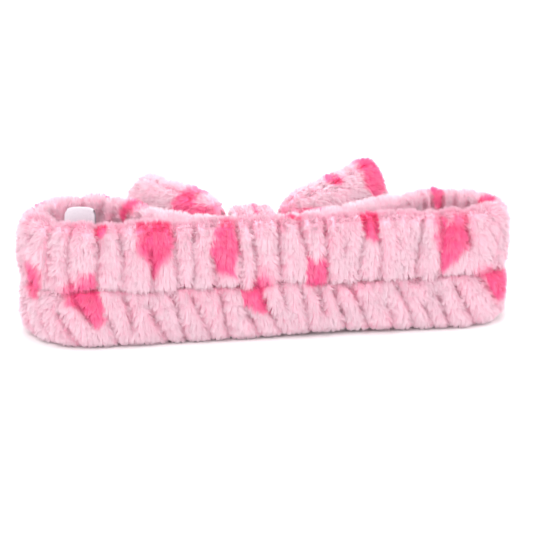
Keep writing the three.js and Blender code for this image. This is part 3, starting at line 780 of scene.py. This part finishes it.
# Hearts on each lobe: distance from its neck and height from its middle line in mm, turn in degrees and size.
LOBE_HEARTS = {
    -1: [(17, 14, 28, 1.05), (46, -18, 10, 0.9)],
    1: [(54, 19, -15, 1.0), (31, 29, 20, 0.4), (9, 16, 0, 0.35), (34, -14, 12, 0.9)],
}


CUSHION_SCALE = 8.0  # the simulation is steadier at the size of a cushion
INFLATE_FRAMES = 22
INFLATE_MOST = 4.5 * MM


def inflate(points, faces, held, rest):
    """Blows a sewn skin up by cloth simulation, held at some of its points. rest is the shape that it was cut to,
    so cloth that is pinched into less room than that wrinkles. No point moves further than INFLATE_MOST."""
    middle = points.mean(0)
    obj = new_mesh("inflating", (points - middle) * CUSHION_SCALE, faces)
    hold = obj.vertex_groups.new(name="held")
    hold.add([int(i) for i in np.nonzero(held)[0]], 1.0, "REPLACE")
    obj.shape_key_add(name="Basis")
    cut = obj.shape_key_add(name="cut")
    cut.data.foreach_set("co", ((rest - middle) * CUSHION_SCALE).astype(np.float32).ravel())
    cloth = obj.modifiers.new("Cloth", "CLOTH")
    settings = cloth.settings
    settings.vertex_group_mass = "held"
    settings.rest_shape_key = cut
    settings.use_pressure = True
    settings.uniform_pressure_force = 4.0
    settings.mass = 0.15
    settings.tension_stiffness = settings.compression_stiffness = 10.0
    settings.shear_stiffness = 5.0
    settings.bending_stiffness = 0.3
    settings.quality = 5
    settings.effector_weights.gravity = 0.0
    cloth.collision_settings.use_collision = False
    cloth.point_cache.frame_end = INFLATE_FRAMES
    scene = bpy.context.scene
    for number in range(1, INFLATE_FRAMES + 1):
        scene.frame_set(number)
    blown = obj.evaluated_get(bpy.context.evaluated_depsgraph_get()).data
    moved = np.zeros(len(points) * 3, np.float32)
    blown.vertices.foreach_get("co", moved)
    moved = moved.reshape(-1, 3) / CUSHION_SCALE + middle - points
    bpy.data.objects.remove(obj)
    scene.frame_set(1)
    far = np.linalg.norm(moved, axis=1)
    return points + moved * np.minimum(1, INFLATE_MOST / np.maximum(far, 1e-9))[:, None]


def lobe_axes(side, bow):
    """A lobe's directions: along it, which also rises, and through its thickness."""
    swing = lobe_swing(side, bow)
    tilt = bow.tilt_left if side < 0 else bow.tilt_right
    along = np.array([side * math.cos(swing), math.sin(swing), math.tan(tilt)])
    return along, np.array([-side * math.sin(swing), math.cos(swing), 0.0])


def lobe_surface(side, bow, fleece):
    """One stuffed lobe's skin: points, triangles, its values, map places and the direction along it. It starts
    inside the knot and ends in a closed tip."""
    along, thick = lobe_axes(side, bow)
    rings, around = 66, 128
    inside_knot = -0.10
    share = np.concatenate([np.linspace(inside_knot, 0, 5)[:-1],
                            np.sin(math.pi / 2 * np.linspace(0, 0.993, rings - 4))])
    reach_share = np.maximum(share, 0)
    angle = 2 * math.pi * np.arange(around) / around
    t, a = np.repeat(share, around), np.tile(angle, rings)
    plump = PLUMP * smoother(reach_share / 0.16) * np.sqrt(np.clip(1 - reach_share ** 4, 0, 1))
    half_height = np.repeat(
        lobe_half(reach_share, NECK_HALF_HEIGHT, bow.lobe_height / 2, STUFFED_RISE) + plump, around)
    half_thick = np.repeat(
        lobe_half(reach_share, NECK_HALF_THICKNESS, bow.lobe_thickness / 2, STUFFED_SWELL) + plump, around)
    u, v = half_thick * np.cos(a), half_height * np.sin(a)
    start = NECK[side] + np.outer(t * bow.lobe_length, along) + np.outer(u, thick) + np.outer(v, UP)
    tip = NECK[side] + bow.lobe_length * along
    points = np.vstack([start, tip])
    # the flat cut is as tall at the neck as in the middle, and is gathered into the knot
    wide = np.where(t < LOBE_WIDEST, bow.lobe_height / 2 * 0.86, half_height)
    cut = np.vstack([NECK[side] + np.outer(t * bow.lobe_length, along) + np.outer(u, thick)
                     + np.outer(wide * np.sin(a), UP), tip])
    quads = grid_faces(rings, around, True)
    ring = (rings - 1) * around + np.arange(around)
    cap = np.stack([ring, np.roll(ring, -1), np.full(around, rings * around)], 1)
    triangles = np.vstack([quads[:, :3], quads[:, [0, 2, 3]], cap])
    volume = np.einsum("ij,ij->i", points[triangles[:, 0]] - tip,
                       np.cross(points[triangles[:, 1]] - tip, points[triangles[:, 2]] - tip)).sum()
    if volume < 0:
        triangles = triangles[:, ::-1]
    t, u, v, a = (np.append(x, x[-1]) for x in (t, u, v, a))
    t[-1], u[-1], v[-1] = 1, 0, 0

    points = inflate(points, triangles, t < 0.02, cut)
    normals = point_normals(points, triangles)
    # the sewn edge lies a little behind the lobe's outline
    seam = np.exp(-((u + 0.30 * bow.lobe_thickness / 2) / (1.1 * MM)) ** 2) * smoother((t - 0.1) / 0.2)
    seam *= np.abs(np.sin(a)) > 0.2
    wave = smooth_noise(np.stack([t * bow.lobe_length, v, u], 1), 26 * MM, fleece.seed + 50 + side)
    puff = -1.3 * MM * seam + 0.7 * MM * wave * smoother((t - 0.15) / 0.3)
    crease_shade = np.clip((points - np.vstack([start, tip])) @ thick * np.sign(-u) / (3 * MM), -1, 1)
    points = points + normals * puff[:, None]

    # painted shade: the tone deepens along the sunken seam, near the neck where the lobe is gathered into the
    # knot, and where the cloth sank into creases; the wave adds a little random tone
    tone = 0.15 + 0.12 * seam + 0.03 * wave + 0.16 * smoother((0.16 - t) / 0.16) + 0.05 * np.maximum(crease_shade, 0)
    for number, (place, height, turn, size) in enumerate(LOBE_HEARTS[side]):
        right, above = t * bow.lobe_length - place * MM, v - height * MM
        ink = printed(right, above, turn, size, fleece, fleece.seed + 70 + number)
        tone = print_tone(tone, ink, seam)
    reach = (0.92 - 0.3 * seam) * (0.45 + 0.55 * smoother((t + 0.02) / 0.14))
    flat_u = np.append(np.repeat(np.arange(rings), around), rings) / (rings + 1)
    flat_v = np.append(np.tile(np.arange(around), rings), around / 2) / around
    corner_v = flat_v[triangles]
    at_seam = (corner_v.max(1) - corner_v.min(1) > 0.5)[:, None] & (corner_v < 0.25)
    corner_v = np.where(at_seam, corner_v + 1, corner_v)
    uv = np.stack([flat_u[triangles], corner_v], 2) * 0.98 + 0.005
    # the pile is combed down the lobe and a little towards its tip
    comb = 0.6 * unit(along) - UP
    nap = unit(comb - normals * (normals @ comb)[:, None]) * 0.9
    values = {"tone": tone, "reach": np.clip(reach, 0.2, 1), "nap": nap}
    return points, triangles, values, uv.reshape(-1, 2), along


class HEADBAND_OT_bow(bpy.types.Operator):
    """Build the bow's two stuffed lobes with their pile"""
    bl_idname = "headband.bow"
    bl_label = "Bow lobes"

    def execute(self, context):
        fleece, bow = context.scene.headband_fleece, context.scene.headband_bow
        ground, pile = bpy.data.materials["coral_fleece_ground"], bpy.data.materials["coral_fleece_pile"]
        for side, word in ((-1, "left"), (1, "right")):
            points, triangles, values, uv, along = lobe_surface(side, bow, fleece)
            skin = fleece_skin(f"bow_{word}_lobe", points, triangles, uv, values, ground)
            fur = grow_pile(f"bow_{word}_pile", skin, fleece, pile, fleece.seed + 60 + side, 0.86)
            for piece in (skin, *fur):
                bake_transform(piece)
            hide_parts(f"bow_{word}_cover", f"bow_{word}_seam")
        return {"FINISHED"}


def wrap_section(count, depth_half, height_half, radius):
    """A rounded rectangle's points at even steps."""
    quarter = np.linspace(0, math.pi / 2, 40)
    ring = []
    for k, (sx, sz) in enumerate(((1, 1), (-1, 1), (-1, -1), (1, -1))):
        turn = quarter + k * math.pi / 2
        ring.append(np.stack([sx * (depth_half - radius) + radius * np.cos(turn),
                              sz * (height_half - radius) + radius * np.sin(turn)], 1))
    return even_steps(np.concatenate(ring + [ring[0][:1]]), count)


class HEADBAND_OT_knot(bpy.types.Operator):
    """Build the fleece strip wound round the band and the bow"""
    bl_idname = "headband.knot"
    bl_label = "Knot"

    def execute(self, context):
        fleece = context.scene.headband_fleece
        ground, pile = bpy.data.materials["coral_fleece_ground"], bpy.data.materials["coral_fleece_pile"]
        middle = (KNOT_LOW + KNOT_HIGH) / 2
        half = (KNOT_HIGH - KNOT_LOW) / 2
        stations, around = 44, 150
        share = np.linspace(-1, 1, stations)
        roll = np.sqrt(np.clip(1 - np.abs(share) ** 6, 0, 1))
        ring = wrap_section(around, half[1] - 1 * MM, half[2] - 1 * MM, 7 * MM)
        rng = np.random.default_rng(fleece.seed + 80)
        folds = [(-0.52, 1.0), (-0.1, 0.8), (0.34, 1.0), (0.7, 0.6)]
        x = np.repeat(share, around)
        place = np.tile(np.arange(around) / around, stations)
        valley = np.zeros_like(x)
        for at, deep in folds:
            wander = at + 0.08 * np.sin(2 * math.pi * (2 * place + rng.random()))
            gap = np.clip(np.abs(x - wander) / 0.22, 0, 1)
            valley = np.maximum(valley, deep * (1 - np.sqrt(1 - (1 - gap) ** 2)))
        shrink = (1 - np.repeat(roll, around)) * 3.2 * MM + valley * 3.6 * MM - 0.6 * MM
        y, z = np.tile(ring[:, 0], stations), np.tile(ring[:, 1], stations)
        base = np.stack([middle[0] + x * half[0], middle[1] + y, middle[2] + z], 1)
        inward = -unit(np.stack([np.zeros_like(y), y / half[1] ** 2, z / half[2] ** 2], 1))
        points = base + inward * shrink[:, None]
        faces = grid_faces(stations, around, True)
        normals = point_normals(points, faces)
        if (normals * -inward).sum() < 0:
            normals, faces = -normals, faces[:, ::-1]
        # painted shade: the tone deepens in the valleys of the strip's folds
        tone = 0.16 + 0.34 * valley
        for number, (across, up) in enumerate(((-1, 30), (4, -14))):
            ink = printed(x * half[0] - across * MM, z - up * MM, 20, 0.6, fleece, fleece.seed + 85 + number)
            tone = print_tone(tone, ink, valley)
        reach = np.clip(0.85 - 0.3 * valley, 0.3, 1) * (0.5 + 0.5 * np.repeat(roll, around))
        nap = (-UP + normals * normals[:, 2:3]) * 0.6
        skin = fleece_skin("knot_strip", points, faces, tube_uv(faces, stations - 1, around),
                           {"tone": tone, "reach": reach, "nap": nap}, ground)
        fur = grow_pile("knot_pile", skin, fleece, pile, fleece.seed + 90, 0.8)
        for piece in (skin, *fur):
            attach(piece, "front")
        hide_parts("knot_wrap", "bow_waist")
        return {"FINISHED"}


# ---------------------------------------------------------------- label and trim

LABEL_WIDTH = 15 * MM
LABEL_FOLD_RADIUS = 0.8 * MM


class HEADBAND_OT_label(bpy.types.Operator):
    """Build the folded satin care label"""
    bl_idname = "headband.label"
    bl_label = "Care label"

    def execute(self, context):
        foot = np.array(JOINT["label_flap"]["pos_m"])
        across = unit(np.array(JOINT["label_flap"]["axis"]))
        inward = np.cross(UP, across)
        inward *= np.sign(inward @ (np.array([LEFT_X, BACK_Y + LEFT_RADIUS, foot[2]]) - foot))
        tall = corners("care_label")[1][2] - foot[2] - LABEL_FOLD_RADIUS
        strip = 2 * tall + math.pi * LABEL_FOLD_RADIUS
        rows, columns = 90, 25
        run = np.repeat(np.linspace(0, strip, rows), columns)
        v = np.tile(np.linspace(-1, 1, columns), rows)
        # up one leaf, over the fold and down the other
        turn = np.clip((run - tall) / LABEL_FOLD_RADIUS, 0, math.pi)
        rise = np.where(run < tall, run, np.where(run > strip - tall, strip - run, tall)) \
            + LABEL_FOLD_RADIUS * np.sin(turn)
        share = rise / (tall + LABEL_FOLD_RADIUS)
        offset = LABEL_FOLD_RADIUS * np.cos(turn) * (1 + 0.7 * np.sin(math.pi * np.clip(share, 0, 1)))
        # soft ribbon curls in towards the loop, more at one corner, and its corners round off
        offset += (2.6 + 1.2 * v) * MM * share ** 2 - 0.9 * MM * v ** 2 * share
        width = LABEL_WIDTH / 2 * (1 - 0.10 * smoother((share - 0.86) / 0.14))
        sink = 0.9 * MM * (v ** 4 + 0.5 * v + 0.5) * share ** 3
        points = foot + np.outer(v * width, across) + np.outer(offset, inward) + np.outer(rise - sink, UP)
        faces = grid_faces(rows, columns, False)
        uv = np.stack([(v[faces] + 1) / 2, run[faces] / strip], 2)
        label = new_mesh("care_label_ribbon", points, faces, uv.reshape(-1, 2))
        label.data.materials.append(satin_material())
        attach(label, "label")
        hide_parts("care_label")
        return {"FINISHED"}


class HEADBAND_OT_trim(bpy.types.Operator):
    """Give the threads, elastics and batting their materials"""
    bl_idname = "headband.trim"
    bl_label = "Thread, elastic and batting"

    def execute(self, context):
        thread = woven_material("polyester_thread", "#F7B3CC", "#DE7FA4", 0.4, 0.6)
        elastic = woven_material("woven_elastic", "#F5F1EE", "#CFC8C2", 1.0, 0.7)
        batting = woven_material("polyester_batting", "#FFFFFF", "#E4E0DC", 3.0, 0.95)
        for name, node in frame["nodes"].items():
            chosen = (elastic if "elastic" in name else batting if "filling" in name else
                      thread if "stitch" in name else bpy.data.materials["coral_fleece_ground"])
            node.data.materials.clear()
            node.data.materials.append(chosen)
        return {"FINISHED"}


# ---------------------------------------------------------------- stage

# name, place, size and power of each lamp
LAMPS = [
    ("key", (-0.55, -0.75, 0.95), 0.7, 6.2),
    ("fill", (0.9, -0.5, 0.7), 0.9, 3.8),
    ("top", (0.1, 0.75, 0.85), 0.9, 7.0),
]


class HEADBAND_OT_stage(bpy.types.Operator):
    """Build the paper, the lights and the camera"""
    bl_idname = "headband.stage"
    bl_label = "Stage"

    def execute(self, context):
        stage = context.scene.headband_stage
        scene = context.scene
        floor = new_mesh("paper", [(-9, -9, 0), (9, -9, 0), (9, 9, 0), (-9, 9, 0)], [(0, 1, 2, 3)])
        material, tree, shader = start_material("white_paper")
        grain = add_node(tree, "ShaderNodeTexNoise", Scale=40.0)
        ramp = add_node(tree, "ShaderNodeValToRGB", {"Fac": grain.outputs["Fac"]})
        colour_stops(ramp, [(0.0, [c * 0.99 for c in stage.backdrop]), (1.0, stage.backdrop)])
        tree.links.new(ramp.outputs["Color"], shader.inputs["Base Color"])
        set_inputs(shader, Roughness=1.0, Specular_IOR_Level=0.0)
        floor.data.materials.append(material)
        world = bpy.data.worlds.new("studio")
        world.use_nodes = True
        world.node_tree.nodes["Background"].inputs["Color"].default_value = (1, 1, 1, 1)
        world.node_tree.nodes["Background"].inputs["Strength"].default_value = 1.14
        scene.world = world
        for name, place, size, energy in LAMPS:
            light = bpy.data.lights.new(name, "AREA")
            light.size, light.energy = size, energy
            lamp = bpy.data.objects.new(name, light)
            lamp.location = place
            lamp.rotation_euler = (Vector((0, 0, 0.03)) - Vector(place)).to_track_quat("-Z", "Y").to_euler()
            scene.collection.objects.link(lamp)
        target = Vector((-0.0015, BACK_LOW[1] + 0.0127, 0.0306))
        away = Vector((math.sin(stage.azimuth) * math.cos(stage.elevation),
                       -math.cos(stage.azimuth) * math.cos(stage.elevation), math.sin(stage.elevation)))
        camera = bpy.data.cameras.new("camera")
        camera.sensor_width = 36
        camera.lens = 36 * stage.distance / stage.view_width
        camera.clip_start = 0.01
        eye = bpy.data.objects.new("camera", camera)
        eye.location = target + away * stage.distance
        eye.rotation_euler = (-away).to_track_quat("-Z", "Y").to_euler()
        scene.collection.objects.link(eye)
        scene.camera = eye
        scene.view_settings.view_transform = "Standard"
        return {"FINISHED"}


class HEADBAND_PT_panel(bpy.types.Panel):
    bl_idname = "HEADBAND_PT_panel"
    bl_label = "Plush Spa Headband"
    bl_space_type = "VIEW_3D"
    bl_region_type = "UI"
    bl_category = "Headband"

    def draw(self, context):
        for group in (context.scene.headband_fleece, context.scene.headband_bow, context.scene.headband_stage):
            box = self.layout.box()
            for name in group.bl_rna.properties.keys():
                if name not in ("rna_type", "name"):
                    box.prop(group, name)
        for operator in OPERATORS:
            self.layout.operator(operator.bl_idname)


GROUPS = {"headband_fleece": HeadbandFleece, "headband_bow": HeadbandBow, "headband_stage": HeadbandStage}
OPERATORS = (HEADBAND_OT_band, HEADBAND_OT_bow, HEADBAND_OT_knot, HEADBAND_OT_label, HEADBAND_OT_trim,
             HEADBAND_OT_stage)


def register():
    for item in (*GROUPS.values(), *OPERATORS, HEADBAND_PT_panel):
        bpy.utils.register_class(item)
    for name, group in GROUPS.items():
        setattr(bpy.types.Scene, name, PointerProperty(type=group))


def unregister():
    for name in GROUPS:
        delattr(bpy.types.Scene, name)
    for item in reversed((*GROUPS.values(), *OPERATORS, HEADBAND_PT_panel)):
        bpy.utils.unregister_class(item)


def main():
    register()
    bpy.ops.headband.band()
    bpy.ops.headband.bow()
    bpy.ops.headband.knot()
    bpy.ops.headband.label()
    bpy.ops.headband.trim()
    bpy.ops.headband.stage()


if __name__ == "__main__":
    main()
